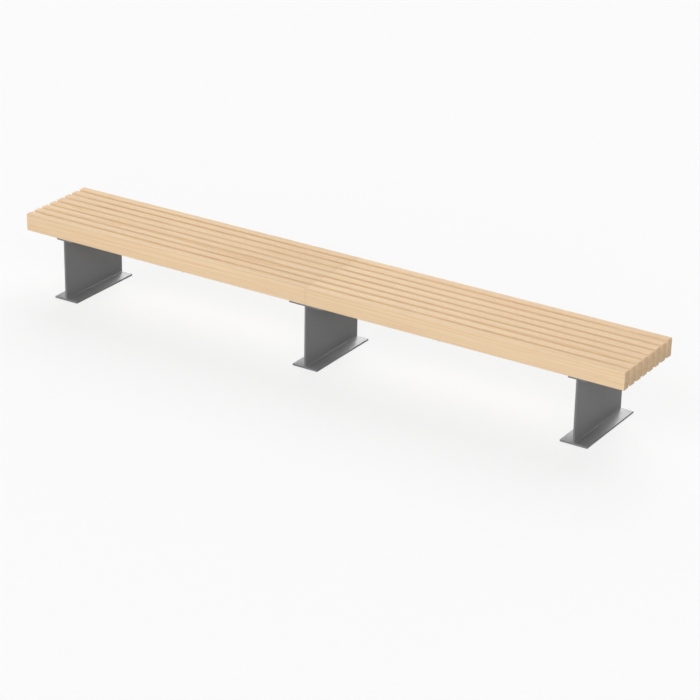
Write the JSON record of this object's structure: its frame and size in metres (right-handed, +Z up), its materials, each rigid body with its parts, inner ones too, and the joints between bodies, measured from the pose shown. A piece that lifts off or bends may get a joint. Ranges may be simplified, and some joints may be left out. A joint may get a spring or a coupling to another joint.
{
  "type": "backless bench",
  "caption": "Long backless public bench: timber slats on edge, laid lengthwise on welded steel plate supports with flat feet, for sitting from either side.",
  "frame": {"origin": "on the ground, under the middle of the seat", "axes": "+X along the bench, +Y from the front slat to the back slat, +Z up"},
  "size_m": [3.6, 0.5, 0.45],
  "materials": {
    "slats": "planed pale timber with a clear satin finish",
    "supports": "satin graphite grey paint on steel plate",
    "fixings": "plain stainless steel"
  },
  "bodies": {
    "root": {"left_slat_1": "slats", "left_slat_2": "slats", "left_slat_3": "slats", "left_slat_4": "slats", "left_slat_5": "slats", "left_slat_6": "slats", "left_slat_7": "slats", "left_slat_8": "slats", "right_slat_1": "slats", "right_slat_2": "slats", "right_slat_3": "slats", "right_slat_4": "slats", "right_slat_5": "slats", "right_slat_6": "slats", "right_slat_7": "slats", "right_slat_8": "slats", "left_foot_plate": "supports", "left_web": "supports", "left_top_plate": "supports", "middle_foot_plate": "supports", "middle_web": "supports", "middle_top_plate": "supports", "right_foot_plate": "supports", "right_web": "supports", "right_top_plate": "supports", "left_tie_bar": "supports", "right_tie_bar": "supports", "left_lag_screw_1": "fixings", "left_lag_screw_2": "fixings", "left_lag_screw_3": "fixings", "left_lag_screw_4": "fixings", "left_lag_screw_5": "fixings", "left_lag_screw_6": "fixings", "left_lag_screw_7": "fixings", "left_lag_screw_8": "fixings", "right_lag_screw_1": "fixings", "right_lag_screw_2": "fixings", "right_lag_screw_3": "fixings", "right_lag_screw_4": "fixings", "right_lag_screw_5": "fixings", "right_lag_screw_6": "fixings", "right_lag_screw_7": "fixings", "right_lag_screw_8": "fixings", "middle_lag_screw_left_1": "fixings", "middle_lag_screw_left_2": "fixings", "middle_lag_screw_left_3": "fixings", "middle_lag_screw_left_4": "fixings", "middle_lag_screw_left_5": "fixings", "middle_lag_screw_left_6": "fixings", "middle_lag_screw_left_7": "fixings", "middle_lag_screw_left_8": "fixings", "middle_lag_screw_right_1": "fixings", "middle_lag_screw_right_2": "fixings", "middle_lag_screw_right_3": "fixings", "middle_lag_screw_right_4": "fixings", "middle_lag_screw_right_5": "fixings", "middle_lag_screw_right_6": "fixings", "middle_lag_screw_right_7": "fixings", "middle_lag_screw_right_8": "fixings"}
  },
  "joints": []
}
